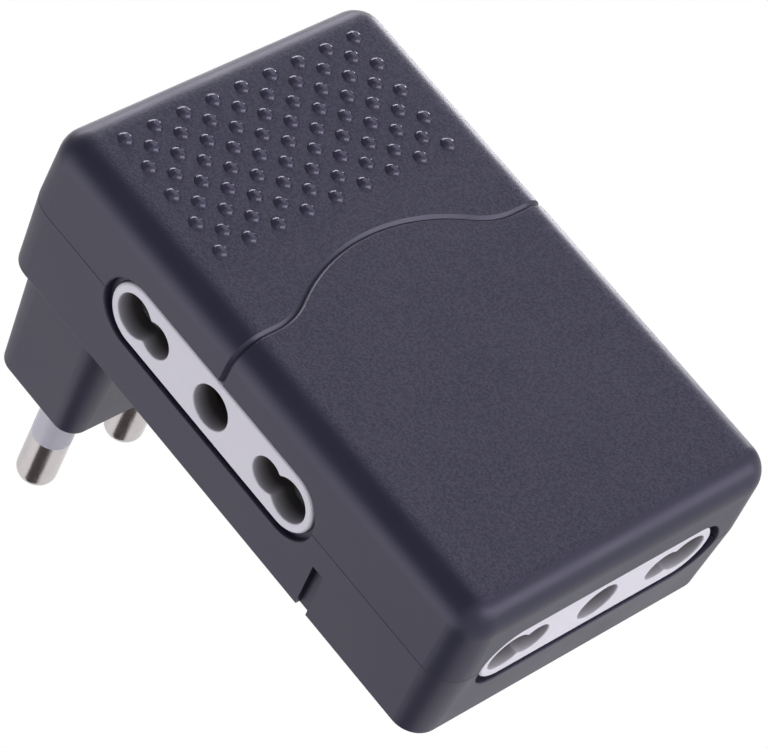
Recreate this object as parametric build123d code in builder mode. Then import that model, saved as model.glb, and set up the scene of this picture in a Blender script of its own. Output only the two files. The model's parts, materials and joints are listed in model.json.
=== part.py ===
from build123d import *
import os
from math import atan2, cos, pi, radians, sin, sqrt, tan

# A three-way plug adapter: a flat case with a three-pin plug block behind its upper end, and one
# three-hole socket in the left side, the right side and the lower end face.
# Millimetres. X runs to the right, Y towards the wall, Z up. The origin is on the earth pin's axis,
# at the face of the plug block that meets the wall socket.

# The case
body_width = 45.0
body_length = 70.8
front_depth = 10.9
rear_depth = 10.8
wall = 1.8
corner_radius = 3.7
front_edge_radius = 3.5
rear_edge_radius = 0.3
front_draft = 1.2
rear_draft = 3.0
seam_radius = 0.1
lip_width = 0.8
lip_height = 1.0
lip_clearance = 0.05

# The plug block
plug_depth = 16.7
plug_width = 39.8
plug_height = 13.1
plug_corner_radius = 2.4
plug_edge_radius = 0.6
plug_draft = 3.8
plug_end_wall = 2.6
pins_below_top = 9.4

# The plug pins
pin_pitch = 13.0
pin_radius = 2.4
pin_length = 19.0
pin_tip_radius = 1.5
pin_neck_radius = 2.2
sleeve_length = 11.0
sleeve_clearance = 0.02
pin_core_radius = 1.8
pin_flange_radius = 3.4
pin_flange_thickness = 1.0
pin_tail_radius = 1.1
pin_rivet_radius = 1.8
pin_rivet_height = 0.8
fit_clearance = 0.05

# The field of grip domes on the front
dome_radius = 0.92
dome_height = 0.5
dome_pitch_across = 4.08
dome_pitch_down = 4.06
dome_long_row = 9
dome_rows = 9
dome_first_row_z = 4.5

# The curved groove across the front
groove_half_width = 0.4
groove_depth = 0.32
groove_lift = 0.1
groove_rim_radius = 0.08
groove_crown_above_socket = 5.05
groove_crown_radius = 22.5
groove_foot_radius = 9.0

# The pry slots at the sides
slot_width = 1.7
slot_depth = 0.7
slot_length = 7.2
slot_below_socket = 20.15

# The sockets: positions and the holes in their faces
side_socket_above_bottom = 39.15
large_hole_pitch = 13.0
large_hole_radius = 2.65
small_hole_pitch = 9.5
small_hole_radius = 2.15
neck_radius = 0.3
earth_hole_radius = 2.65
hole_edge_radius = 0.15

# The socket inserts and the recess round them
insert_rim = 1.35
insert_end_rim = 1.05
insert_sunk = 0.4
insert_edge_radius = 0.4
recess_gap = 0.45
recess_end_gap = 0.75
recess_depth = 1.0
recess_rim_radius = 0.15
insert_clearance = 0.1
flange_end_edge = 0.6
flange_front_edge = 1.3
flange_rear_gap = 0.4
flange_thickness = 1.0
flange_corner_radius = 2.0
flange_clearance = 0.1

# The guides on the back of each insert, which hold the shutter
guide_gap = 0.2
guide_width = 0.9
guide_front = -3.5
guide_lip_reach = 0.7
guide_lip_thickness = 0.9

# The shutters
shutter_clearance = 0.1
shutter_overlap = 0.15
shutter_over_travel = 0.1
shutter_depth = 4.5
shutter_low_edge = 0.5
shutter_ramp_edge = 1.05
wing_overlap = 0.5
bar_gap = 0.1
bar_height = 0.7
bar_depth = 2.0
tower_gap = 0.65
tower_short = 0.2
tower_depth = 3.3

# The shutter springs
spring_clearance = 0.05
spring_wire_radius = 0.15
spring_radius = 0.8
spring_turns = 9
spring_corners_per_turn = 6
spring_bend_share = 0.9
spring_pocket_radius = 1.15
spring_pocket_wall = 0.7

# The spring contacts
contact_thickness = 0.5
contact_gap = 0.4
contact_mouth = 3.2
contact_grip_clearance = 0.02
contact_root = 2.7
contact_grip_depth = 2.6
contact_root_depth = 6.0
contact_bend_radius = 0.7
contact_tip_clearance = 0.5
live_contact_edge = 0.1
earth_contact_width = 5.4
tab_width = 2.4
tab_stake = 0.4

# The strips that join the contacts to the pins
strip_thickness = 0.8
strip_width = 3.4
branch_width = 3.4
strip_edge = 1.0
live_strip_gap = 1.6
earth_stake_gap = 0.3
strip_top = -1.5
leg_width = 5.0
leg_height = 3.0
leg_bend_radius = 0.9
leg_below_pin = 2.6
leg_foot = -4.0
strip_post_radius = 1.0
strip_post_clearance = 0.1
strip_post_step = 5.0

# The insulating plate between the neutral and the earth strips
plate_thickness = 0.6
plate_stake_gap = 0.05
plate_side_gap = 0.8
plate_top = -5.0
plate_end_gap = 1.15
plate_rib_thickness = 1.2
plate_rib_inner = 4.0
plate_rib_reach = 3.4
plate_slot_clearance = 0.6
peg_side_inset = 1.0
peg_inset = 2.0
peg_radius = 0.5
post_radius = 1.0
peg_clearance = 0.1
peg_stand = 0.15

# The closing screws and their bosses
screw_from_side = 4.6
screw_from_bottom = 13.4
screw_radius = 1.0
screw_head_radius = 1.9
screw_head_height = 1.4
screw_length = 12.0
screw_pocket_radius = 2.1
screw_pocket_depth = 3.6
screw_clearance_radius = 1.2
screw_pilot_clearance = 0.02
screw_seat = 1.6
screw_slot_width = 0.5
screw_slot_length = 2.4
screw_slot_depth = 0.8
rear_boss_radius = 3.0
slim_boss_radius = 1.9

# Catches at the top and ribs that trap the flanges
catch_across = 14.0
catch_width = 5.0
catch_thickness = 1.0
catch_root = 3.0
catch_length = 3.6
catch_barb = 0.4
catch_barb_length = 1.2
catch_clearance = 0.1
rib_half_length = 10.0
rib_thickness = 1.0
rib_overlap = 0.9
rib_clearance = 0.1

# Places worked out from the sizes above
rear_y = -plug_depth
parting_y = rear_y - rear_depth
front_y = parting_y - front_depth
front_inner_y = front_y + wall
top_z = pins_below_top
bottom_z = top_z - body_length
body_mid_z = (top_z + bottom_z) / 2
side_socket_z = bottom_z + side_socket_above_bottom
groove_crown_z = side_socket_z + groove_crown_above_socket
groove_deep = groove_depth + groove_lift
groove_reach = groove_half_width * groove_deep / groove_depth
insert_radius = large_hole_radius + insert_rim
insert_centres = 2 * (large_hole_pitch + large_hole_radius + insert_end_rim - insert_radius)
flange_depth = wall + rear_depth * tan(radians(rear_draft)) + flange_clearance
flange_back = flange_depth + flange_thickness
wing_inner = small_hole_pitch - small_hole_radius - wing_overlap
wing_outer = large_hole_pitch + large_hole_radius + wing_overlap
flange_length = 2 * (wing_outer + guide_gap + guide_width + flange_end_edge)
flange_front = -(insert_radius + flange_front_edge)
flange_rear = rear_depth - wall - flange_rear_gap
shutter_face = flange_back + shutter_clearance
shutter_back = shutter_face + shutter_depth
shutter_front = -(large_hole_radius + shutter_overlap)
shutter_rear = earth_hole_radius + bar_gap + bar_height
shutter_ramp_top = shutter_rear - shutter_ramp_edge
shutter_travel = 2 * large_hole_radius + shutter_over_travel
tower_inner = earth_hole_radius + tower_gap
tower_front = shutter_front + tower_short
spring_place = (tower_inner + wing_inner) / 2
spring_pocket_floor = tower_front + spring_pocket_wall
contact_face = shutter_back + contact_gap
contact_base = pin_length + contact_tip_clearance
contact_grip = pin_radius + contact_grip_clearance
live_contact_place = (large_hole_pitch + large_hole_radius + small_hole_pitch - small_hole_radius) / 2
live_contact_width = 2 * (large_hole_pitch + large_hole_radius - live_contact_place) - live_contact_edge
live_layer = contact_mouth + contact_thickness + live_strip_gap
earth_layer = front_depth - wall - earth_stake_gap - tab_stake - strip_thickness
leg_plate_y = -plug_end_wall - pin_flange_thickness - strip_thickness / 2
tab_across = body_width / 2 - contact_base - contact_thickness / 2
tab_up = bottom_z + contact_base + contact_thickness / 2
plate_back_y = parting_y - live_layer - strip_thickness - tab_stake - plate_stake_gap
plate_front_y = plate_back_y - plate_thickness
plate_half_width = live_contact_place - strip_width / 2 - plate_side_gap
plate_bottom = tab_up + plate_end_gap
peg_across = plate_half_width - peg_side_inset
screw_across = body_width / 2 - screw_from_side
screw_z = bottom_z + screw_from_bottom
slot_z = side_socket_z - slot_below_socket

# Both sides, and how near a point counts as on a surface
sides = (-1, 1)
skin_tolerance = 0.01

# Each socket's plane lies on the case, with x along its holes, y towards the wall and z outward
socket_planes = {
    "left": Plane((-body_width / 2, parting_y, side_socket_z), x_dir=(0, 0, 1), z_dir=(-1, 0, 0)),
    "right": Plane((body_width / 2, parting_y, side_socket_z), x_dir=(0, 0, -1), z_dir=(1, 0, 0)),
    "end": Plane((0, parting_y, bottom_z), x_dir=(-1, 0, 0), z_dir=(0, 0, -1)),
}

# The side of each socket's row, along its x, on which the line contact lies
line_sides = {"left": 1, "right": -1, "end": 1}


def facing_front(y):
    """The upright plane at depth y that looks to the front: x to the right, y up."""
    return Plane.XZ.offset(-y)


def facing_wall(y, x=0, z=0):
    """The upright plane at depth y that looks to the wall: x to the left, y up."""
    return Plane((x, y, z), x_dir=(-1, 0, 0), z_dir=(0, 1, 0))


def across(plane, along):
    """The plane square to a socket's row of holes: x towards the wall, y outward."""
    return Plane(plane.from_local_coords((along, 0, 0)), x_dir=plane.y_dir, z_dir=plane.x_dir)


def over(plane, along, towards_wall, depth):
    """A plane that looks towards the wall from a point inside a socket: x along the row, y inward."""
    origin = plane.from_local_coords((along, towards_wall, -depth))
    return Plane(origin, x_dir=plane.x_dir, z_dir=plane.y_dir)


def front_form(inset):
    """The front half of the case, taken in on every outer side."""
    with BuildPart() as form:
        with BuildSketch(facing_front(parting_y)):
            with Locations((0, body_mid_z)):
                RectangleRounded(body_width - 2 * inset, body_length - 2 * inset, corner_radius - inset)
        extrude(amount=front_depth - inset, taper=front_draft)
        fillet(form.faces().sort_by(Axis.Y)[0].edges(), front_edge_radius - inset)
    return form.part


def rear_form(inset, edge_radius):
    """The rear half of the case without the plug block, taken in on every outer side."""
    with BuildPart() as form:
        with BuildSketch(facing_wall(parting_y)):
            with Locations((0, body_mid_z)):
                RectangleRounded(body_width - 2 * inset, body_length - 2 * inset, corner_radius - inset)
        extrude(amount=rear_depth - inset, taper=rear_draft)
        fillet(form.faces().sort_by(Axis.Y)[-1].edges(), edge_radius)
    return form.part


def plug_form(inset, end_y, overlap):
    """The plug block, wider at its root, from end_y back to just inside the case."""
    growth = -2 * end_y * tan(radians(plug_draft))
    with BuildPart() as form:
        with BuildSketch(facing_front(end_y)):
            RectangleRounded(
                plug_width - 2 * inset + growth,
                plug_height - 2 * inset + growth,
                plug_corner_radius - inset + growth / 2,
            )
        extrude(amount=end_y - rear_y + overlap, taper=-plug_draft)
    return form.part


def opening_form(plane, gap, end_gap, depth):
    """A stadium cut of a socket's outline, wider by a gap along it and one at its ends, from outside."""
    outside = insert_radius
    with BuildPart() as form:
        with BuildSketch(plane.offset(outside)):
            SlotCenterToCenter(insert_centres + 2 * (end_gap - gap), 2 * (insert_radius + gap))
        extrude(amount=-(outside + depth))
    return form.part


def groove_path():
    """The line of the groove, just proud of the front: an arch, then down both sides to the seam."""
    crown_up = groove_crown_z - groove_crown_radius
    foot_up = side_socket_z + groove_foot_radius
    both_radii = groove_crown_radius + groove_foot_radius
    foot_across = sqrt(both_radii**2 - (foot_up - crown_up) ** 2)
    meet_x = foot_across * groove_crown_radius / both_radii
    meet_z = crown_up + (foot_up - crown_up) * groove_crown_radius / both_radii
    foot_angle = atan2(meet_z - foot_up, foot_across - meet_x)
    middle = (foot_angle - pi / 2) / 2
    middle_x = foot_across - groove_foot_radius * cos(middle)
    middle_z = foot_up + groove_foot_radius * sin(middle)
    # Round the case's front edge, which lies between the front and a side with draft
    draft = radians(front_draft)
    path_y = front_y - groove_lift
    turn = front_edge_radius + groove_lift
    turn_y = front_y + front_edge_radius
    turn_x = body_width / 2 - (parting_y - turn_y) * tan(draft) - front_edge_radius / cos(draft)
    half_turn = (pi / 2 - draft) / 2
    high = side_socket_z
    with BuildLine() as path:
        ThreePointArc((-meet_x, path_y, meet_z), (0, path_y, groove_crown_z), (meet_x, path_y, meet_z))
        for side in sides:
            meet = (side * meet_x, path_y, meet_z)
            foot = (side * foot_across, path_y, high)
            edge_start = (side * turn_x, path_y, high)
            edge_middle = (side * (turn_x + turn * sin(half_turn)), turn_y - turn * cos(half_turn), high)
            edge_end = (side * (turn_x + turn * cos(draft)), turn_y - turn * sin(draft), high)
            seam_x = edge_end[0] + side * (parting_y - edge_end[1]) * tan(draft)
            ThreePointArc(meet, (side * middle_x, path_y, middle_z), foot)
            Line(foot, edge_start)
            ThreePointArc(edge_start, edge_middle, edge_end)
            Line(edge_end, (seam_x, parting_y, high))
    return path.wire()


def groove_form(path):
    """A four-cornered bar along the groove's line, which cuts a V."""
    with BuildPart() as form:
        with BuildSketch(Plane(path @ 0, x_dir=(0, 0, 1), z_dir=path % 0)):
            Polygon((-groove_reach, 0), (0, -groove_deep), (groove_reach, 0), (0, groove_deep))
        sweep(path=path)
    return form.part


def on_skin(edges, skin):
    """Those of the edges that lie on a skin, judged at their middles, and aren't at the seam."""
    near = [edge for edge in edges if skin.distance_to(Vertex(*(edge @ 0.5))) < skin_tolerance]
    return [edge for edge in near if abs((edge @ 0.5).Y - parting_y) > seam_radius + skin_tolerance]


def recess_rims(edges, skin):
    """Those of the edges that run round the sockets' recesses, on the skin of the case."""
    found = []
    for plane in socket_planes.values():
        wall_of_recess = opening_form(plane, recess_gap, recess_end_gap, recess_depth).shells()[0]
        for edge in on_skin(edges, skin):
            if wall_of_recess.distance_to(Vertex(*(edge @ 0.5))) < skin_tolerance:
                found.append(edge)
    return found


def keyhole(side):
    """A large and a small hole run together, with the neck between them rounded."""
    gap = large_hole_pitch - small_hole_pitch
    large_reach = large_hole_radius + neck_radius
    small_reach = small_hole_radius + neck_radius
    along = (gap**2 + large_reach**2 - small_reach**2) / (2 * gap)
    up = sqrt(large_reach**2 - along**2)
    large = (side * large_hole_pitch, 0)
    small = (side * small_hole_pitch, 0)
    necks = [(side * (large_hole_pitch - along), sign * up) for sign in (1, -1)]
    with Locations(large):
        Circle(large_hole_radius)
    with Locations(small):
        Circle(small_hole_radius)
    Polygon(large, necks[0], small, necks[1], align=None)
    with Locations(*necks):
        Circle(neck_radius, mode=Mode.SUBTRACT)


def finish(piece, label):
    """Names a piece and writes it."""
    piece.label = label
    export_step(piece, f"parts/{label}.step")


def rounds(y, places, radius, length, mode=Mode.ADD):
    """Round posts or holes at the places, from depth y by the length towards the wall."""
    with BuildSketch(facing_front(y)) as outline:
        with Locations(*places):
            Circle(radius)
    extrude(outline.sketch, amount=-length, mode=mode)


def turned(x, z, steps):
    """Round lengths on one axis towards the wall, each given by its two depths and its radius."""
    for from_y, to_y, radius in steps:
        with BuildSketch(facing_wall(from_y, x, z)) as outline:
            Circle(radius)
        extrude(outline.sketch, amount=to_y - from_y)


def case_ring(from_y, outer_inset, inner_inset, length, mode=Mode.ADD):
    """A ring round the case between two insets, from a depth by the length to the front."""
    with BuildSketch(facing_front(from_y)) as outline:
        with Locations((0, body_mid_z)):
            RectangleRounded(
                body_width - 2 * outer_inset, body_length - 2 * outer_inset, corner_radius - outer_inset
            )
            RectangleRounded(
                body_width - 2 * inner_inset,
                body_length - 2 * inner_inset,
                corner_radius - inner_inset,
                mode=Mode.SUBTRACT,
            )
    extrude(outline.sketch, amount=length, mode=mode)


os.makedirs("parts", exist_ok=True)

screw_places = [(side * screw_across, screw_z) for side in sides]
peg_heights = (plate_top - peg_inset, plate_bottom + peg_inset)
peg_places = [(side * peg_across, z) for side in sides for z in peg_heights]
line_post_places = [(-live_contact_place, side_socket_z + up * strip_post_step) for up in sides]
neutral_post_places = [(live_contact_place, side_socket_z + up * strip_post_step) for up in sides]
catch_top = top_z - wall - catch_length * tan(radians(front_draft)) - catch_clearance
catch_barb_top = top_z - wall + catch_barb
catch_end_y = parting_y - catch_length

# Solids that cut both halves of the case
case_cuts = [
    opening_form(plane, recess_gap, recess_end_gap, recess_depth) for plane in socket_planes.values()
]
case_cuts += [
    opening_form(plane, insert_clearance, insert_clearance, flange_back) for plane in socket_planes.values()
]

# Front shell
front_solid = front_form(0)
front_core = front_form(wall)
groove_line = groove_path()
dome_sphere_radius = (dome_radius**2 + dome_height**2) / (2 * dome_height)
dome_sphere_y = front_y + dome_sphere_radius - dome_height
rib_high = flange_front + rib_overlap
rib_low = front_inner_y - wall / 2 - parting_y

with BuildPart() as front_shell:
    add(front_solid)
    fillet(front_shell.faces().sort_by(Axis.Y)[-1].edges(), seam_radius)
    skin = front_shell.part.shells()[0]
    add(groove_form(groove_line), mode=Mode.SUBTRACT)
    near_groove = [
        edge
        for edge in front_shell.edges()
        if groove_line.distance_to(Vertex(*(edge @ 0.5))) < groove_reach + skin_tolerance
    ]
    fillet(on_skin(near_groove, skin), groove_rim_radius)
    # Grip domes in staggered rows, every other row one dome shorter
    for row in range(dome_rows):
        count = dome_long_row - row % 2
        row_z = dome_first_row_z - row * dome_pitch_down / 2
        starts = [(i - (count - 1) / 2) * dome_pitch_across for i in range(count)]
        with Locations(*[(x, dome_sphere_y, row_z) for x in starts]):
            Sphere(dome_sphere_radius)
    add(front_core, mode=Mode.SUBTRACT)
    rounds(front_inner_y - wall / 2, screw_places, slim_boss_radius, parting_y - front_inner_y + wall / 2)
    # Posts for the neutral strip, and posts with pegs for the insulating plate
    neutral_post_length = parting_y - live_layer - strip_thickness - strip_post_clearance - front_inner_y
    rounds(front_inner_y - wall / 2, neutral_post_places, strip_post_radius, neutral_post_length + wall / 2)
    rounds(front_inner_y - wall / 2, peg_places, post_radius, plate_front_y - front_inner_y + wall / 2)
    rounds(plate_front_y, peg_places, peg_radius, plate_thickness + peg_stand)
    # Ribs that trap the front edge of each insert's flange
    for plane in socket_planes.values():
        with BuildSketch(plane.offset(-(flange_back + rib_clearance))):
            with Locations((0, (rib_low + rib_high) / 2)):
                Rectangle(2 * rib_half_length, rib_high - rib_low)
        extrude(amount=-rib_thickness)
    for cut in case_cuts:
        add(cut, mode=Mode.SUBTRACT)
    fillet(recess_rims(front_shell.edges(), skin), recess_rim_radius)
    # Rebate for the rear shell's lip
    case_ring(parting_y, wall - lip_width - lip_clearance, wall, lip_height + lip_clearance, Mode.SUBTRACT)
    rounds(
        front_inner_y,
        screw_places,
        screw_radius + screw_pilot_clearance,
        parting_y - front_inner_y,
        Mode.SUBTRACT,
    )
    # Pockets that the catches' barbs snap into
    with BuildSketch(facing_front(catch_end_y + catch_barb_length + catch_clearance)):
        for side in sides:
            with Locations((side * catch_across, catch_barb_top + catch_clearance - catch_thickness)):
                Rectangle(catch_width + 2 * catch_clearance, 2 * catch_thickness)
    extrude(amount=catch_barb_length + 2 * catch_clearance, mode=Mode.SUBTRACT)
finish(front_shell.part, "front_shell")

# Rear shell
rear_solid = rear_form(0, rear_edge_radius)
rear_core = rear_form(wall, rear_edge_radius)
plug_solid = plug_form(0, 0, wall / 2)
plug_core = plug_form(wall, -plug_end_wall, wall + rear_edge_radius)
pin_places = [(side * pin_pitch, 0) for side in (-1, 0, 1)]
screw_seat_y = rear_y - screw_pocket_depth

with BuildPart() as rear_shell:
    add(plug_solid)
    fillet(rear_shell.faces().sort_by(Axis.Y)[-1].edges(), plug_edge_radius)
    add(rear_solid)
    fillet(rear_shell.faces().sort_by(Axis.Y)[0].edges(), seam_radius)
    skin = rear_shell.part.shells()[0]
    add(rear_core, mode=Mode.SUBTRACT)
    add(plug_core, mode=Mode.SUBTRACT)
    rounds(rear_y - wall / 2, screw_places, rear_boss_radius, screw_seat_y - screw_seat - rear_y + wall / 2)
    rounds(parting_y, screw_places, slim_boss_radius, rear_y - wall / 2 - parting_y)
    line_post_length = rear_y - wall - parting_y - live_layer - strip_thickness - strip_post_clearance
    rounds(rear_y - wall / 2, line_post_places, strip_post_radius, -line_post_length - wall / 2)
    # Lip that stands into the front shell
    case_ring(parting_y + wall, wall - lip_width, wall, wall + lip_height)
    # Catches with barbs
    for side in sides:
        with BuildSketch(facing_front(parting_y + catch_root)):
            with Locations((side * catch_across, catch_top - catch_thickness / 2)):
                Rectangle(catch_width, catch_thickness)
        extrude(amount=catch_root + catch_length)
        with BuildSketch(facing_front(parting_y + catch_root)):
            with Locations((side * catch_across, top_z - wall - catch_thickness / 2)):
                Rectangle(catch_width, catch_thickness + wall / 2)
        extrude(amount=catch_root - lip_clearance)
        with BuildSketch(facing_front(catch_end_y + catch_barb_length)):
            with Locations((side * catch_across, (catch_top + catch_barb_top) / 2)):
                Rectangle(catch_width, catch_barb_top - catch_top)
        extrude(amount=catch_barb_length)
    for cut in case_cuts:
        add(cut, mode=Mode.SUBTRACT)
    fillet(recess_rims(rear_shell.edges(), skin), recess_rim_radius)
    rounds(screw_seat_y, screw_places, screw_pocket_radius, screw_pocket_depth, Mode.SUBTRACT)
    rounds(parting_y, screw_places, screw_clearance_radius, screw_seat_y - parting_y, Mode.SUBTRACT)
    rounds(-plug_end_wall, pin_places, pin_neck_radius + fit_clearance, plug_end_wall, Mode.SUBTRACT)
    # Pry slots, open at the rear edge
    slot_floor = body_width / 2 - rear_depth * tan(radians(rear_draft)) - slot_depth
    with BuildSketch(facing_front(rear_y)):
        for side in sides:
            with Locations((side * (slot_floor + body_width / 2) / 2, slot_z)):
                Rectangle(body_width / 2 - slot_floor, slot_width)
    extrude(amount=slot_length, mode=Mode.SUBTRACT)
finish(rear_shell.part, "rear_shell")


def socket_insert(plane):
    """A socket face with its holes, its hidden flange, and the guides for its shutter."""
    with BuildPart() as insert:
        with BuildSketch(plane.offset(-insert_sunk)):
            SlotCenterToCenter(insert_centres, 2 * insert_radius)
        extrude(amount=insert_sunk - flange_back)
        outward = Axis(plane.origin, plane.z_dir)
        fillet(insert.faces().sort_by(outward)[-1].edges(), insert_edge_radius)
        with BuildSketch(plane.offset(-flange_depth)):
            with Locations((0, (flange_front + flange_rear) / 2)):
                RectangleRounded(flange_length, flange_rear - flange_front, flange_corner_radius)
        extrude(amount=-flange_thickness)
        with BuildSketch(plane.offset(-insert_sunk)):
            Circle(earth_hole_radius)
            for side in sides:
                keyhole(side)
        extrude(amount=insert_sunk - flange_back, mode=Mode.SUBTRACT)
        face = insert.faces().sort_by(outward)[-1]
        fillet(face.inner_wires().edges(), hole_edge_radius)
        # Rails at both ends, a lip on each, and a stop below the closed shutter
        rail_inner = wing_outer + guide_gap
        lip_depth = shutter_back + shutter_clearance
        rail_outer = rail_inner + guide_width
        guide_back = lip_depth + guide_lip_thickness
        lip_inner = rail_inner - guide_lip_reach
        stop_rear = shutter_front - shutter_clearance
        for side in sides:
            with BuildSketch(plane.offset(-flange_back)):
                with Locations((side * (rail_inner + rail_outer) / 2, (guide_front + flange_rear) / 2)):
                    Rectangle(guide_width, flange_rear - guide_front)
                with Locations((side * (lip_inner + rail_outer) / 2, (guide_front + stop_rear) / 2)):
                    Rectangle(rail_outer - lip_inner, stop_rear - guide_front)
            extrude(amount=flange_back - guide_back)
            with BuildSketch(plane.offset(-lip_depth)):
                with Locations((side * (lip_inner + rail_outer) / 2, (guide_front + flange_rear) / 2)):
                    Rectangle(rail_outer - lip_inner, flange_rear - guide_front)
            extrude(amount=-guide_lip_thickness)
    return insert.part


def shutter(plane):
    """A sliding shutter: two ramped wings that cover the keyholes, joined by a bar clear of the earth pin."""
    with BuildPart() as piece:
        for side in sides:
            with BuildSketch(across(plane, side * wing_inner)):
                Polygon(
                    (shutter_front, -(shutter_back - shutter_low_edge)),
                    (shutter_front, -shutter_back),
                    (shutter_rear, -shutter_back),
                    (shutter_rear, -shutter_face),
                    (shutter_ramp_top, -shutter_face),
                    align=None,
                )
            extrude(amount=side * (wing_outer - wing_inner))
            with BuildSketch(plane.offset(-shutter_face)):
                with Locations((side * (tower_inner + wing_inner) / 2, (tower_front + shutter_rear) / 2)):
                    Rectangle(wing_inner - tower_inner, shutter_rear - tower_front)
            extrude(amount=-tower_depth)
        with BuildSketch(plane.offset(-shutter_face)):
            with Locations((0, shutter_rear - bar_height / 2)):
                Rectangle(2 * wing_inner, bar_height)
        extrude(amount=-bar_depth)
        for side in sides:
            with BuildSketch(over(plane, side * spring_place, shutter_rear, shutter_face + tower_depth / 2)):
                Circle(spring_pocket_radius)
            extrude(amount=spring_pocket_floor - shutter_rear, mode=Mode.SUBTRACT)
    return piece.part


def shutter_spring(plane, side):
    """One compression spring, from the floor of its pocket in the shutter to the rear shell."""
    seat = rear_depth - wall
    low = spring_pocket_floor + spring_wire_radius + spring_clearance
    high = seat - spring_wire_radius - spring_clearance
    corner_radius_out = spring_radius / cos(pi / spring_corners_per_turn)
    centre_depth = shutter_face + tower_depth / 2
    corners = spring_turns * spring_corners_per_turn
    points = []
    for i in range(corners + 1):
        angle = 2 * pi * i / spring_corners_per_turn
        along = side * spring_place + corner_radius_out * cos(angle)
        depth = centre_depth + corner_radius_out * sin(angle)
        points.append(plane.from_local_coords((along, low + (high - low) * i / corners, -depth)))
    with BuildPart() as spring:
        with BuildLine() as wire:
            FilletPolyline(*points, radius=spring_radius * spring_bend_share)
        with BuildSketch(Plane(wire.line @ 0, z_dir=wire.line % 0)):
            Circle(spring_wire_radius)
        sweep()
    pitch = (high - low) / spring_turns
    print("spring gap between curls", round(pitch - 2 * spring_wire_radius, 2), "mm")
    return spring.part


def contact(plane, along, width, tab_side, layer):
    """A U-shaped spring contact that grips a pin, with a tab staked into its strip."""
    half = contact_thickness / 2
    upper = [
        (contact_mouth + half, -contact_face),
        (contact_grip + half, -(contact_face + contact_grip_depth)),
        (contact_root + half, -(contact_face + contact_root_depth)),
        (contact_root + half, -(contact_base + half)),
    ]
    lower = [(-towards_wall, outward) for towards_wall, outward in reversed(upper)]
    tab_end = layer + strip_thickness + tab_stake
    with BuildPart() as clip:
        with BuildSketch(across(plane, along - width / 2)):
            with BuildLine():
                FilletPolyline(*upper, *lower, radius=contact_bend_radius)
                offset(amount=half, side=Side.BOTH)
            make_face()
        extrude(amount=width)
        with BuildSketch(plane.offset(-contact_base)):
            with Locations((along, tab_side * tab_end / 2)):
                Rectangle(tab_width, tab_end)
        extrude(amount=-contact_thickness)
    return clip.part


def leg(pin_x, strip_y):
    """The end of a strip that bends over into the plug block and down behind the pin's flange."""
    with BuildSketch(Plane.YZ.offset(pin_x - leg_width / 2)) as outline:
        with BuildLine():
            FilletPolyline(
                (strip_y, leg_foot),
                (strip_y, leg_height),
                (leg_plate_y, leg_height),
                (leg_plate_y, -leg_below_pin),
                radius=leg_bend_radius,
            )
            offset(amount=strip_thickness / 2, side=Side.BOTH)
        make_face()
    extrude(outline.sketch, amount=leg_width)
    rounds(
        leg_plate_y - strip_thickness / 2,
        [(pin_x, 0)],
        pin_tail_radius + fit_clearance,
        strip_thickness,
        Mode.SUBTRACT,
    )


def box_between(low_x, high_x, low_z, high_z):
    """A rectangle in an upright sketch, given by its edges."""
    with Locations(((low_x + high_x) / 2, (low_z + high_z) / 2)):
        Rectangle(high_x - low_x, high_z - low_z)


def tab_slots(tab_z, end_x):
    """The slots in a strip for the tabs of the two side contacts and of the end contact."""
    for side in sides:
        with Locations((side * tab_across, tab_z)):
            Rectangle(contact_thickness, tab_width, mode=Mode.SUBTRACT)
    with Locations((end_x, tab_up)):
        Rectangle(tab_width, contact_thickness, mode=Mode.SUBTRACT)


def live_strip(side, front_face_y):
    """The strip of the line (side -1) or neutral (side 1) pole: a column, a branch and a leg."""
    column_x = side * live_contact_place
    branch_z = side_socket_z - side * live_contact_place
    branch_end = -side * (tab_across + contact_thickness / 2 + strip_edge)
    foot_z = tab_up - contact_thickness / 2 - strip_edge
    with BuildPart() as strip:
        with BuildSketch(facing_front(front_face_y + strip_thickness)):
            box_between(column_x - strip_width / 2, column_x + strip_width / 2, foot_z, strip_top)
            box_between(
                min(column_x, branch_end),
                max(column_x, branch_end),
                branch_z - branch_width / 2,
                branch_z + branch_width / 2,
            )
            tab_slots(branch_z, column_x)
        extrude(amount=strip_thickness)
        leg(side * pin_pitch, front_face_y + strip_thickness / 2)
    return strip.part


def live_pin(x):
    """A pin with a slim core for its sleeve, headed on both sides of the block's end wall."""
    with BuildPart() as pin:
        turned(x, 0, pin_root_steps + [(-plug_end_wall, sleeve_length, pin_core_radius)])
        turned(x, 0, [(sleeve_length, pin_length, pin_radius)])
        fillet(pin.faces().sort_by(Axis.Y)[-1].edges(), pin_tip_radius)
    return pin.part


def pin_sleeve(x):
    """The insulating sleeve on a live pin, with a neck through the block's end wall."""
    with BuildPart() as sleeve:
        turned(x, 0, [(-plug_end_wall, 0, pin_neck_radius), (0, sleeve_length, pin_radius)])
        rounds(
            -plug_end_wall,
            [(x, 0)],
            pin_core_radius + sleeve_clearance,
            plug_end_wall + sleeve_length,
            Mode.SUBTRACT,
        )
    return sleeve.part


# Socket inserts, shutters and their springs
for name, plane in socket_planes.items():
    finish(socket_insert(plane), f"{name}_socket_insert")
    finish(shutter(plane), f"{name}_shutter")
    for number, side in enumerate(sides, 1):
        finish(shutter_spring(plane, side), f"{name}_shutter_spring_{number}")

shutter_room = rear_depth - wall - shutter_rear
print("shutter travel", round(shutter_travel, 2), "mm, with room for", round(shutter_room, 2), "mm")

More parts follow.
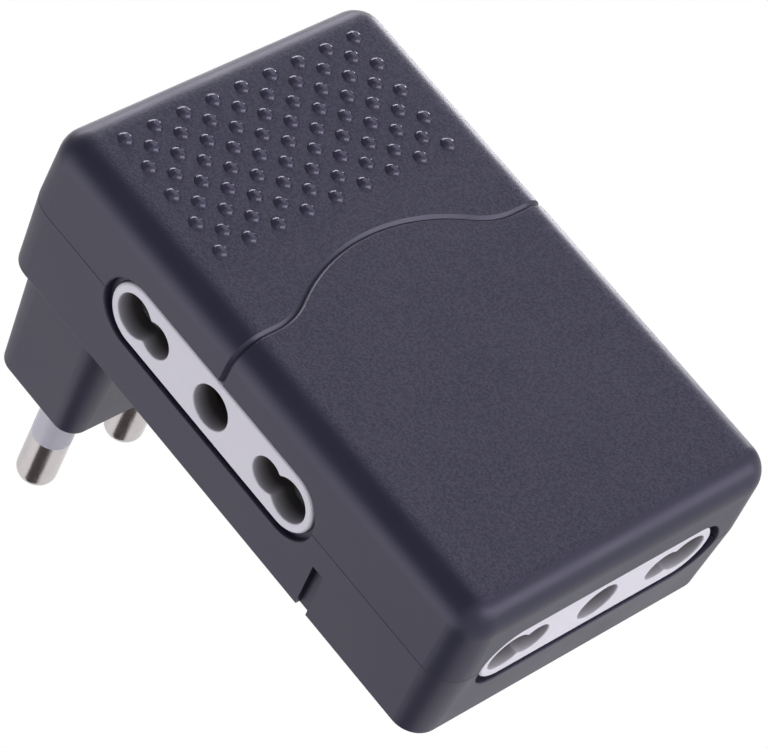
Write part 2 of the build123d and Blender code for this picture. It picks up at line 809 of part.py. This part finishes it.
# Contacts: the line tabs reach towards the wall, the neutral and earth tabs to the front
for name, plane in socket_planes.items():
    live_along = line_sides[name] * live_contact_place
    finish(contact(plane, live_along, live_contact_width, 1, live_layer), f"{name}_line_contact")
    finish(contact(plane, -live_along, live_contact_width, -1, live_layer), f"{name}_neutral_contact")
    finish(contact(plane, 0, earth_contact_width, -1, earth_layer), f"{name}_earth_contact")

# Strips
finish(live_strip(-1, parting_y + live_layer), "line_busbar")
finish(live_strip(1, parting_y - live_layer - strip_thickness), "neutral_busbar")

earth_front_y = parting_y - earth_layer - strip_thickness
with BuildPart() as earth_busbar:
    with BuildSketch(facing_front(earth_front_y + strip_thickness)):
        stem_foot = tab_up - contact_thickness / 2 - strip_edge
        box_between(-branch_width / 2, branch_width / 2, stem_foot, strip_top)
        crossbar_end = tab_across + contact_thickness / 2 + strip_edge
        box_between(
            -crossbar_end, crossbar_end, side_socket_z - branch_width / 2, side_socket_z + branch_width / 2
        )
        tab_slots(side_socket_z, 0)
    extrude(amount=strip_thickness)
    leg(0, earth_front_y + strip_thickness / 2)
finish(earth_busbar.part, "earth_busbar")

# Insulating plate, with ribs that part the side contacts
rib_step = (earth_contact_width / 2 + live_contact_place - live_contact_width / 2) / 2
with BuildPart() as insulating_plate:
    with BuildSketch(facing_front(plate_front_y + plate_thickness)):
        box_between(-plate_half_width, plate_half_width, plate_bottom, plate_top)
        for side in sides:
            with Locations((side * tab_across, side_socket_z)):
                Rectangle(
                    contact_thickness + plate_slot_clearance,
                    tab_width + plate_slot_clearance,
                    mode=Mode.SUBTRACT,
                )
        with Locations(*peg_places):
            Circle(peg_radius + peg_clearance, mode=Mode.SUBTRACT)
    extrude(amount=plate_thickness)
    with BuildSketch(facing_wall(plate_front_y)):
        for side in sides:
            for up in sides:
                rib_x = side * (plate_rib_inner + plate_half_width) / 2
                with Locations((rib_x, side_socket_z + up * rib_step)):
                    Rectangle(plate_half_width - plate_rib_inner, plate_rib_thickness)
    extrude(amount=parting_y - plate_rib_reach - plate_front_y)
finish(insulating_plate.part, "insulating_plate")

# Plug pins and sleeves
rivet_y = leg_plate_y - strip_thickness / 2
flange_y = -plug_end_wall - pin_flange_thickness
pin_root_steps = [
    (rivet_y - pin_rivet_height, rivet_y, pin_rivet_radius),
    (rivet_y, flange_y, pin_tail_radius),
    (flange_y, -plug_end_wall, pin_flange_radius),
]
finish(live_pin(-pin_pitch), "line_pin")
finish(live_pin(pin_pitch), "neutral_pin")
finish(pin_sleeve(-pin_pitch), "line_pin_sleeve")
finish(pin_sleeve(pin_pitch), "neutral_pin_sleeve")

with BuildPart() as earth_pin:
    turned(0, 0, pin_root_steps + [(-plug_end_wall, 0, pin_neck_radius), (0, pin_length, pin_radius)])
    fillet(earth_pin.faces().sort_by(Axis.Y)[-1].edges(), pin_tip_radius)
finish(earth_pin.part, "earth_pin")

# Closing screws with a cross slot in each head
head_y = screw_seat_y + screw_head_height
with BuildPart() as closing_screws:
    for x, z in screw_places:
        turned(x, z, [(screw_seat_y - screw_length, screw_seat_y, screw_radius)])
        turned(x, z, [(screw_seat_y, head_y, screw_head_radius)])
    with BuildSketch(facing_front(head_y)):
        with Locations(*screw_places):
            Rectangle(screw_slot_length, screw_slot_width)
            Rectangle(screw_slot_width, screw_slot_length)
    extrude(amount=screw_slot_depth, mode=Mode.SUBTRACT)
finish(closing_screws.part, "closing_screws")
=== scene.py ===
import json
import math

import bpy
from mathutils import Matrix, Vector


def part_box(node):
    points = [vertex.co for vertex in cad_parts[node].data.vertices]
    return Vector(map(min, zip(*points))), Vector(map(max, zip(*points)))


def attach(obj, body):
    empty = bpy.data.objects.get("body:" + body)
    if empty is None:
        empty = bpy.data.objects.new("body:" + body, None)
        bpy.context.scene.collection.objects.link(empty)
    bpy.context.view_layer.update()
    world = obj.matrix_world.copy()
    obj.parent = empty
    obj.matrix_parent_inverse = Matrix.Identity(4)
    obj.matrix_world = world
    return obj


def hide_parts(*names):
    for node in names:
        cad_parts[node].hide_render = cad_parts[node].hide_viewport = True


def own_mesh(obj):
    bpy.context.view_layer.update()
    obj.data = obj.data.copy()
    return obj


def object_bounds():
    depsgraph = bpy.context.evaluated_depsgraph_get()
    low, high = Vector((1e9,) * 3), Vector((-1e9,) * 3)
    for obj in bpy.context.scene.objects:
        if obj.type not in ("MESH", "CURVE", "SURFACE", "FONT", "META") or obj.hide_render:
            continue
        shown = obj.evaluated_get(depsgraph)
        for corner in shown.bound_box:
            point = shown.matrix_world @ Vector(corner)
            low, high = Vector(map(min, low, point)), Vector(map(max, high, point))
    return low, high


# The looks of a three-way plug adapter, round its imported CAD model. Metres, in the model's own frame:
# X to the right, Y towards the wall, Z up.

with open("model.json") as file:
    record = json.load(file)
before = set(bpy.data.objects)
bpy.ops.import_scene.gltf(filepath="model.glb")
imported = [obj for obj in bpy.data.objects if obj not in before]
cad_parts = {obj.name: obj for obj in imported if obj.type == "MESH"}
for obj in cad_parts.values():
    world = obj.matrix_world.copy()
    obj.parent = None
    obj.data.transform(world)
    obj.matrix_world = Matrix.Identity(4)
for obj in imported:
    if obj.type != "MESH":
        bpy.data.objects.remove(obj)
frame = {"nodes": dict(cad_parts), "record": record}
model_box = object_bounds()
model_middle = (model_box[0] + model_box[1]) / 2
nodes = frame["nodes"]

# The photograph's frame in pixels, and the camera that was fitted to it, with its sensor in millimetres
picture_width = 768
picture_height = 748
focal_pixels = 4613.1
axis_across = 335.04
axis_down = 360.99
camera_place = Vector((-0.28631, -0.38991, -0.17695))
camera_aim = Vector((0.00295, -0.01623, -0.01903))
camera_roll = math.radians(-40.279)
camera_sees_from = 0.05
camera_sees_to = 50.0
sensor_width = 36.0

# Places along Y: the case's flat front, from which the domes stand out, and one just past the bottom of the
# groove in it. Then the distance over which one finish gives way to the next
front_face_at = -0.0384
groove_ends_at = front_face_at + 0.0004
finish_blend = 0.0001

# How squarely a face of the case looks to the front, where 1 is squarely: the front's grain starts and is
# full, and the sloping flanks of the groove are full and end
grain_starts_facing = 0.93
grain_full_facing = 0.995
flank_full_facing = 0.84
flank_ends_facing = 0.89

# The grain of the front: the size of its blotches, the part of the noise that shows, how much of the colour
# follows it, the roughness it adds in the pits, its heights, and the share of it on the smooth sides
grain_size = 0.00026
fine_grain_size = 0.00016
grain_low = 0.35
grain_high = 0.65
grain_tint = 0.8
pit_dullness = 0.14
grain_height = 0.000042
fine_grain_height = 0.00002
side_grain = 0.15

# How much smoother than the rest of the case the worn domes and the flanks of the groove are
dome_polish = 0.25
groove_polish = 0.1

# The painted shade down the walls of the sockets' holes: how far below the face it starts and is full, the
# power of the depth that it follows, and how squarely to the face a wall looks where the shade is full and
# where it ends
shade_starts = 0.0001
shade_full = 0.0022
shade_power = 0.5
shade_full_facing = 0.35
shade_ends_facing = 0.75

# The range that most of a noise lies in, and the higher one in which scuffs grow to their full roughness
noise_low = 0.3
noise_high = 0.7
scuffs_start = 0.5
scuffs_full = 0.75

# How the noises of metal are drawn out: rings round Y, scratches along Y, and a rolled grain along Z
ring_scale = (0.02, 1.0, 0.02)
scratch_scale = (1.0, 0.06, 1.0)
rolled_scale = (1.0, 1.0, 0.05)

plastic_ior = 1.5
face_ior = 1.45

# The stage: the floor, and the card that darkens a streak of the pins
floor_height = -0.75
floor_width = 16.0
floor_glow = 0.93
pins_middle = Vector((0, 0.012, 0))
flag_direction = Vector((-0.57, 0.74, -0.33))
flag_distance = 0.6
flag_width = 0.42
flag_height = 0.6

# The world: an even light, and soft areas that add to it, each with its direction and its strength, and the
# power of the cosine by which they fall off
room_light = (0.96, 0.96, 1.0, 1.0)
room_level = 0.16
soft_area_power = 2.0
soft_areas = (
    ((-0.75, -0.6, 0.3), 0.15),
    ((-0.3, 0.9, 0.3), 0.7),
)

# The white backdrop that reflections see: the Y of the directions in which it fades in, the Z of those in
# which it dims, and how bright it is above them
backdrop_from = 0.0
backdrop_to = 0.5
backdrop_dims_from = 0.38
backdrop_dims_to = 0.62
backdrop_dimmed = 0.5

# The lamps' colour, and each lamp's direction and distance from the model's middle, its width and height, and
# its radiance
lamp_light = (0.97, 0.96, 1.0)
lamps = {
    "lamp_left": ((-0.9, 0.25, 0.3), 1.2, 1.1, 1.1, 1.52),
    "lamp_over": ((0.59, -0.75, 0.31), 1.2, 1.1, 1.1, 1.5),
    "lamp_top": ((0.42, -0.18, 0.88), 1.2, 0.36, 0.8, 8.0),
    "lamp_top_right": ((0.8, 0.05, 0.58), 1.2, 0.2, 0.7, 4.6),
    "lamp_right": ((0.93, 0.12, 0.33), 1.2, 0.62, 0.18, 9.0),
    "lamp_top_behind": ((0.5, 0.5, 0.7), 1.2, 0.6, 0.6, 1.6),
    "lamp_low": ((0.33, -0.6, -0.69), 0.68, 0.75, 0.22, 4.3),
}


def colour(red, green, blue):
    """An opaque colour."""
    return (red, green, blue, 1.0)


class Wiring:
    """Short ways to add nodes to a node tree and to link them."""

    def __init__(self, tree):
        self.nodes = tree.nodes
        self.links = tree.links

    def add(self, kind, **settings):
        """A new node with its settings."""
        node = self.nodes.new(kind)
        for key, value in settings.items():
            setattr(node, key, value)
        return node

    def feed(self, target, source):
        """Sets an input to a number, a vector or a colour, or links it to an output."""
        if isinstance(source, bpy.types.NodeSocket):
            self.links.new(source, target)
        else:
            target.default_value = source

    def math(self, operation, *sources):
        """The result of an operation on numbers or outputs."""
        node = self.add("ShaderNodeMath", operation=operation)
        for socket, source in zip(node.inputs, sources):
            self.feed(socket, source)
        return node.outputs["Value"]

    def spread(self, value, low, high, to_low, to_high, smooth=False):
        """Maps a value from one range to another, clamped."""
        node = self.add("ShaderNodeMapRange", interpolation_type="SMOOTHSTEP" if smooth else "LINEAR")
        ends = {"From Min": low, "From Max": high, "To Min": to_low, "To Max": to_high}
        self.feed(node.inputs["Value"], value)
        for name, end in ends.items():
            self.feed(node.inputs[name], end)
        return node.outputs["Result"]

    def along(self, vector, axis):
        """How far a vector goes along an axis."""
        node = self.add("ShaderNodeVectorMath", operation="DOT_PRODUCT")
        self.feed(node.inputs[0], vector)
        self.feed(node.inputs[1], axis)
        return node.outputs["Value"]

    def coordinate(self, vector, letter):
        """The X, Y or Z of a vector."""
        node = self.add("ShaderNodeSeparateXYZ")
        self.feed(node.inputs[0], vector)
        return node.outputs[letter]

    def seen(self, share_in_mirrors):
        """1 for rays from the camera, and the share for those from mirroring and clear surfaces."""
        path = self.add("ShaderNodeLightPath").outputs
        mirrored = self.math("MAXIMUM", path["Is Glossy Ray"], path["Is Transmission Ray"])
        mirrored = self.math("MULTIPLY", mirrored, share_in_mirrors)
        return self.math("MAXIMUM", path["Is Camera Ray"], mirrored)

    def mix_shaders(self, share, first, second):
        """The first shader, with a share of the second in its place."""
        node = self.add("ShaderNodeMixShader")
        for socket, source in zip(node.inputs, (share, first, second)):
            self.feed(socket, source)
        return node.outputs[0]


class Shading(Wiring):
    """A new material and short ways to shade it in the object's own coordinates."""

    def __init__(self, name):
        self.material = bpy.data.materials.new(name)
        self.material.use_nodes = True
        super().__init__(self.material.node_tree)
        self.shader = self.nodes["Principled BSDF"]
        self.place = self.add("ShaderNodeTexCoord").outputs["Object"]

    def stretch(self, scale):
        """The object's coordinates, scaled by three numbers."""
        node = self.add("ShaderNodeMapping")
        self.feed(node.inputs["Vector"], self.place)
        self.feed(node.inputs["Scale"], scale)
        return node.outputs["Vector"]

    def noise(self, size, detail=2.0, at=None):
        """Noise whose blotches are about size metres across."""
        node = self.add("ShaderNodeTexNoise")
        self.feed(node.inputs["Vector"], at or self.place)
        self.feed(node.inputs["Scale"], 1.0 / size)
        self.feed(node.inputs["Detail"], detail)
        return node.outputs["Fac"]

    def vary(self, noise, to_low, to_high):
        """Maps the range that most of a noise lies in to another."""
        return self.spread(noise, noise_low, noise_high, to_low, to_high)

    def blend(self, share, first, second):
        """A mix of two colours."""
        node = self.add("ShaderNodeMix", data_type="RGBA")
        colours = [socket for socket in node.inputs if socket.type == "RGBA"]
        self.feed(node.inputs[0], share)
        self.feed(colours[0], first)
        self.feed(colours[1], second)
        return [socket for socket in node.outputs if socket.type == "RGBA"][0]

    def bump(self, height, depth, under=None):
        """Bumps as high as depth in metres, over an earlier normal."""
        node = self.add("ShaderNodeBump")
        self.feed(node.inputs["Strength"], 1.0)
        self.feed(node.inputs["Distance"], depth)
        self.feed(node.inputs["Height"], height)
        if under is not None:
            self.feed(node.inputs["Normal"], under)
        return node.outputs["Normal"]

    def facing(self, axis):
        """How far the surface looks along an axis of the object, from -1 to 1."""
        return self.along(self.add("ShaderNodeNewGeometry").outputs["Normal"], axis)

    def set(self, **values):
        """Sets the main shader's inputs by their names, with underscores for spaces."""
        for key, value in values.items():
            self.feed(self.shader.inputs[key.replace("_", " ")], value)


def case_plastic():
    """Charcoal moulded plastic: an eroded grain on the front, smoother sides and groove, and worn domes whose
    paler colour is partly painted sheen.
    """
    look = Shading("case_plastic")
    depth = look.coordinate(look.place, "Y")
    to_front = look.facing((0, -1, 0))
    domes = look.spread(depth, front_face_at - finish_blend, front_face_at, 1.0, 0.0)
    beside_domes = look.math("SUBTRACT", 1.0, domes)
    front = look.spread(to_front, grain_starts_facing, grain_full_facing, 0.0, 1.0, smooth=True)
    grained = look.math("MULTIPLY", front, beside_domes)
    shallow = look.spread(depth, groove_ends_at, groove_ends_at + finish_blend, 1.0, 0.0)
    sloped = look.spread(to_front, flank_full_facing, flank_ends_facing, 1.0, 0.0)
    groove = look.math("MULTIPLY", look.math("MULTIPLY", sloped, shallow), beside_domes)

    grain = look.noise(size=grain_size)
    fine_grain = look.noise(size=fine_grain_size, detail=1.0)
    cloud = look.noise(size=0.009, detail=3.0)
    tint = look.vary(cloud, to_low=0.0, to_high=1.0)
    pits = look.spread(grain, grain_low, grain_high, 0.0, 1.0)
    smooth = look.blend(tint, colour(0.017, 0.016, 0.033), colour(0.020, 0.019, 0.038))
    pitted = look.blend(pits, colour(0.009, 0.009, 0.022), colour(0.031, 0.029, 0.054))
    # The domes' paler colour is partly wear and partly painted sheen, which lifts their shaded sides
    wear_and_sheen = look.blend(tint, colour(0.036, 0.034, 0.060), colour(0.043, 0.041, 0.070))
    around_domes = look.blend(look.math("MULTIPLY", grained, grain_tint), smooth, pitted)
    look.set(Base_Color=look.blend(domes, around_domes, wear_and_sheen))

    dull = look.math("MULTIPLY", grained, look.spread(grain, grain_low, grain_high, pit_dullness, 0.0))
    rough = look.math("ADD", look.vary(cloud, to_low=0.40, to_high=0.46), dull)
    rough = look.math("SUBTRACT", rough, look.math("MULTIPLY", domes, dome_polish))
    rough = look.math("SUBTRACT", rough, look.math("MULTIPLY", groove, groove_polish))
    look.set(Roughness=rough, IOR=plastic_ior, Specular_Tint=colour(0.82, 0.79, 1.0))

    strong = look.math("ADD", look.math("MULTIPLY", grained, 1 - side_grain), side_grain)
    coarse_bump = look.bump(look.math("MULTIPLY", grain, strong), grain_height)
    look.set(Normal=look.bump(look.math("MULTIPLY", fine_grain, strong), fine_grain_height, coarse_bump))
    return look.material


def face_plastic(name, inwards, face_at):
    """Pale grey plastic of a socket's face, with painted shade that darkens the walls of its holes with
    depth.
    """
    look = Shading(name)
    cloud = look.noise(size=0.004, detail=3.0)
    # Painted shade: the walls of the holes darken towards a dark grey with their depth below the face
    depth = look.spread(look.along(look.place, inwards), face_at + shade_starts, face_at + shade_full, 0.0, 1.0)
    squarely = look.math("ABSOLUTE", look.facing(inwards))
    wall = look.spread(squarely, shade_full_facing, shade_ends_facing, 1.0, 0.0, smooth=True)
    painted_shade = look.math("MULTIPLY", look.math("POWER", depth, shade_power), wall)
    pale = look.blend(cloud, colour(0.72, 0.70, 0.77), colour(0.77, 0.75, 0.82))
    look.set(Base_Color=look.blend(painted_shade, pale, colour(0.075, 0.068, 0.068)))
    look.set(Roughness=look.vary(cloud, to_low=0.50, to_high=0.58), IOR=face_ior)
    look.set(Normal=look.bump(look.noise(size=0.00025), depth=0.000008))
    return look.material


def plain_plastic(name, dark, light, rough_low, rough_high, cloud_size, cloud_detail, bump_size, bump_height):
    """Smooth moulded plastic, a little uneven in its colour and its gloss."""
    look = Shading(name)
    cloud = look.noise(cloud_size, cloud_detail)
    look.set(Base_Color=look.blend(cloud, dark, light))
    look.set(Roughness=look.vary(cloud, rough_low, rough_high), IOR=plastic_ior)
    look.set(Normal=look.bump(look.noise(bump_size), bump_height))
    return look.material


def turned_metal(name, dull, bright, rough_low, rough_high):
    """Plated metal turned round the Y axis: fine rings, and a few scratches along that axis."""
    look = Shading(name)
    rings = look.noise(size=0.0001, at=look.stretch(ring_scale))
    scuffs = look.noise(size=0.0002, detail=3.0, at=look.stretch(scratch_scale))
    cloud = look.noise(size=0.002, detail=3.0)
    look.set(Base_Color=look.blend(cloud, dull, bright), Metallic=1.0)
    look.set(Roughness=look.spread(scuffs, scuffs_start, scuffs_full, rough_low, rough_high))
    ring_bump = look.bump(rings, depth=0.000002)
    look.set(Normal=look.bump(scuffs, depth=0.0000015, under=ring_bump))
    return look.material


def stamped_metal(name, dull, bright):
    """Rolled sheet metal: a faint grain along Z, and stains."""
    look = Shading(name)
    rolled = look.noise(size=0.0002, at=look.stretch(rolled_scale))
    stain = look.noise(size=0.003, detail=4.0)
    look.set(Base_Color=look.blend(stain, dull, bright), Metallic=1.0)
    look.set(Roughness=look.vary(stain, to_low=0.25, to_high=0.42))
    look.set(Normal=look.bump(rolled, depth=0.000005))
    return look.material


slot_materials = {
    "case_plastic": case_plastic(),
    # The shutters' dark grey is painted shade: pale grey shutters, darkened for the shade deep in the sockets
    "shutter_plastic": plain_plastic(
        "shutter_plastic",
        dark=colour(0.10, 0.095, 0.10),
        light=colour(0.13, 0.125, 0.13),
        rough_low=0.40,
        rough_high=0.50,
        cloud_size=0.003,
        cloud_detail=3.0,
        bump_size=0.0003,
        bump_height=0.00001,
    ),
    "sleeve_plastic": plain_plastic(
        "sleeve_plastic",
        dark=colour(0.50, 0.49, 0.56),
        light=colour(0.55, 0.54, 0.61),
        rough_low=0.30,
        rough_high=0.38,
        cloud_size=0.003,
        cloud_detail=2.0,
        bump_size=0.0004,
        bump_height=0.000006,
    ),
    "pin_nickel": turned_metal("pin_nickel", colour(0.52, 0.48, 0.48), colour(0.62, 0.58, 0.58), 0.2, 0.32),
    "contact_brass": stamped_metal("contact_brass", colour(0.62, 0.43, 0.16), colour(0.80, 0.60, 0.28)),
    "strip_brass": stamped_metal("strip_brass", colour(0.58, 0.40, 0.15), colour(0.76, 0.56, 0.26)),
    "plate_plastic": plain_plastic(
        "plate_plastic",
        dark=colour(0.56, 0.53, 0.46),
        light=colour(0.62, 0.59, 0.52),
        rough_low=0.45,
        rough_high=0.55,
        cloud_size=0.004,
        cloud_detail=3.0,
        bump_size=0.0003,
        bump_height=0.00001,
    ),
    "spring_steel": turned_metal(
        "spring_steel", colour(0.45, 0.45, 0.46), colour(0.60, 0.60, 0.61), 0.22, 0.4
    ),
    "screw_steel": turned_metal("screw_steel", colour(0.42, 0.43, 0.45), colour(0.58, 0.59, 0.60), 0.25, 0.4),
}


def insert_materials():
    """One pale plastic for each socket, because the painted shade in its holes follows the way that it looks.
    """
    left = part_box("left_socket_insert")[0][0]
    right = -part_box("right_socket_insert")[1][0]
    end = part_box("end_socket_insert")[0][2]
    return {
        "left_socket_insert": face_plastic("left_face_plastic", (1, 0, 0), left),
        "right_socket_insert": face_plastic("right_face_plastic", (-1, 0, 0), right),
        "end_socket_insert": face_plastic("end_face_plastic", (0, 0, 1), end),
    }


def dress_nodes():
    """Gives each CAD node the material of its slot, and each socket insert its own."""
    inserts = insert_materials()
    for part in frame["record"]["subparts"]:
        node = nodes[part["node"]]
        node.data.materials.clear()
        if part["node"] in inserts:
            node.data.materials.append(inserts[part["node"]])
        else:
            node.data.materials.append(slot_materials[part["material_slot"]])


def make_springs():
    """The shutters' springs, as copies of their CAD nodes, hung on the case in place of those nodes."""
    for joint in frame["record"]["behaviour"]["joints"]:
        for spring in joint["deforming_nodes"]:
            name = spring["node"]
            mesh = nodes[name].data.copy()
            mesh.transform(nodes[name].matrix_world)
            coil = bpy.data.objects.new(name + "_coil", mesh)
            bpy.context.scene.collection.objects.link(coil)
            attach(coil, "case")
            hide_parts(name)
            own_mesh(coil)


def make_sheet(name, width, height, level):
    """A rectangle across the Z axis, at a level of that axis."""
    corners = []
    for x, y in ((-1, -1), (1, -1), (1, 1), (-1, 1)):
        corners.append((x * width / 2, y * height / 2, level))
    mesh = bpy.data.meshes.new(name)
    mesh.from_pydata(corners, [], [(0, 1, 2, 3)])
    sheet = bpy.data.objects.new(name, mesh)
    bpy.context.scene.collection.objects.link(sheet)
    return sheet


def make_floor():
    """A plain pale floor, far below, because the photograph shows the adapter on white without a shadow."""
    floor = make_sheet("floor", floor_width, floor_width, floor_height)
    look = Shading("floor_paper")
    cloud = look.noise(size=0.4)
    look.set(Base_Color=look.blend(cloud, colour(0.80, 0.80, 0.80), colour(0.84, 0.84, 0.84)), Roughness=0.8)
    glow = look.add("ShaderNodeEmission")
    look.feed(glow.inputs["Color"], colour(1.0, 1.0, 1.0))
    glowing = look.math("MULTIPLY", look.seen(1.0), floor_glow)
    surface = look.mix_shaders(glowing, look.shader.outputs[0], glow.outputs[0])
    look.feed(look.nodes["Material Output"].inputs["Surface"], surface)
    floor.data.materials.append(look.material)


def make_world():
    """A plain studio: even light, a few broad soft areas, and a white backdrop behind the object.

    The camera sees white all round. Reflections see it behind the object, and the dim room in front.
    """
    world = bpy.data.worlds.new("world")
    bpy.context.scene.world = world
    world.use_nodes = True
    world.node_tree.nodes.clear()
    sky = Wiring(world.node_tree)
    direction = sky.add("ShaderNodeTexCoord").outputs["Generated"]
    level = room_level
    for towards, strength in soft_areas:
        near = sky.math("MAXIMUM", sky.along(direction, Vector(towards).normalized()), 0.0)
        level = sky.math("MULTIPLY_ADD", sky.math("POWER", near, soft_area_power), strength, level)
    to_wall = sky.coordinate(direction, "Y")
    upwards = sky.coordinate(direction, "Z")
    behind = sky.spread(to_wall, backdrop_from, backdrop_to, 0.0, 1.0, smooth=True)
    high = sky.spread(upwards, backdrop_dims_from, backdrop_dims_to, 1.0, backdrop_dimmed, smooth=True)
    seen = sky.seen(sky.math("MULTIPLY", behind, high))
    room = sky.add("ShaderNodeBackground")
    sky.feed(room.inputs["Color"], room_light)
    sky.feed(room.inputs["Strength"], level)
    white = sky.add("ShaderNodeBackground")
    sky.feed(white.inputs["Color"], colour(1.0, 1.0, 1.0))
    surface = sky.mix_shaders(seen, room.outputs[0], white.outputs[0])
    sky.feed(sky.add("ShaderNodeOutputWorld").inputs["Surface"], surface)


def make_flag():
    """A dark card beside the object, which only reflections see: it gives the pins their dark streak."""
    flag = make_sheet("flag", flag_width, flag_height, 0)
    flag.location = pins_middle + flag_direction.normalized() * flag_distance
    flag.rotation_mode = "QUATERNION"
    flag.rotation_quaternion = (pins_middle - flag.location).to_track_quat("Z", "X")
    flag.visible_camera = False
    flag.visible_diffuse = False
    flag.visible_shadow = False
    look = Shading("flag_card")
    look.set(Base_Color=look.blend(look.noise(size=0.02), colour(0.06, 0.05, 0.05), colour(0.08, 0.07, 0.07)))
    look.set(Roughness=0.9)
    flag.data.materials.append(look.material)


def make_lamp(name, direction, distance, width, height, radiance):
    """A soft lamp that looks at the model's middle."""
    data = bpy.data.lights.new(name, "AREA")
    data.shape = "RECTANGLE"
    data.size = width
    data.size_y = height
    data.energy = radiance * math.pi * width * height
    data.color = lamp_light
    lamp = bpy.data.objects.new(name, data)
    bpy.context.scene.collection.objects.link(lamp)
    lamp.location = model_middle + Vector(direction).normalized() * distance
    lamp.rotation_mode = "QUATERNION"
    lamp.rotation_quaternion = (model_middle - lamp.location).to_track_quat("-Z", "Y")
    lamp.visible_camera = False


def make_camera():
    """The camera at the photograph's viewing angle."""
    data = bpy.data.cameras.new("camera")
    data.sensor_width = sensor_width
    data.lens = focal_pixels * sensor_width / picture_width
    data.shift_x = (picture_width / 2 - axis_across) / picture_width
    data.shift_y = (axis_down - picture_height / 2) / picture_width
    data.clip_start = camera_sees_from
    data.clip_end = camera_sees_to
    camera = bpy.data.objects.new("camera", data)
    bpy.context.scene.collection.objects.link(camera)
    forward = (camera_aim - camera_place).normalized()
    level = forward.cross(Vector((0, 0, 1))).normalized()
    upright = level.cross(forward)
    right = level * math.cos(camera_roll) + upright * math.sin(camera_roll)
    up = right.cross(forward)
    turn = Matrix((right, up, -forward)).transposed()
    camera.matrix_world = Matrix.Translation(camera_place) @ turn.to_4x4()
    bpy.context.scene.camera = camera


dress_nodes()
make_springs()
make_floor()
make_world()
make_flag()
for lamp_name, lamp_settings in lamps.items():
    make_lamp(lamp_name, *lamp_settings)
make_camera()

bpy.context.scene.view_settings.view_transform = "Standard"
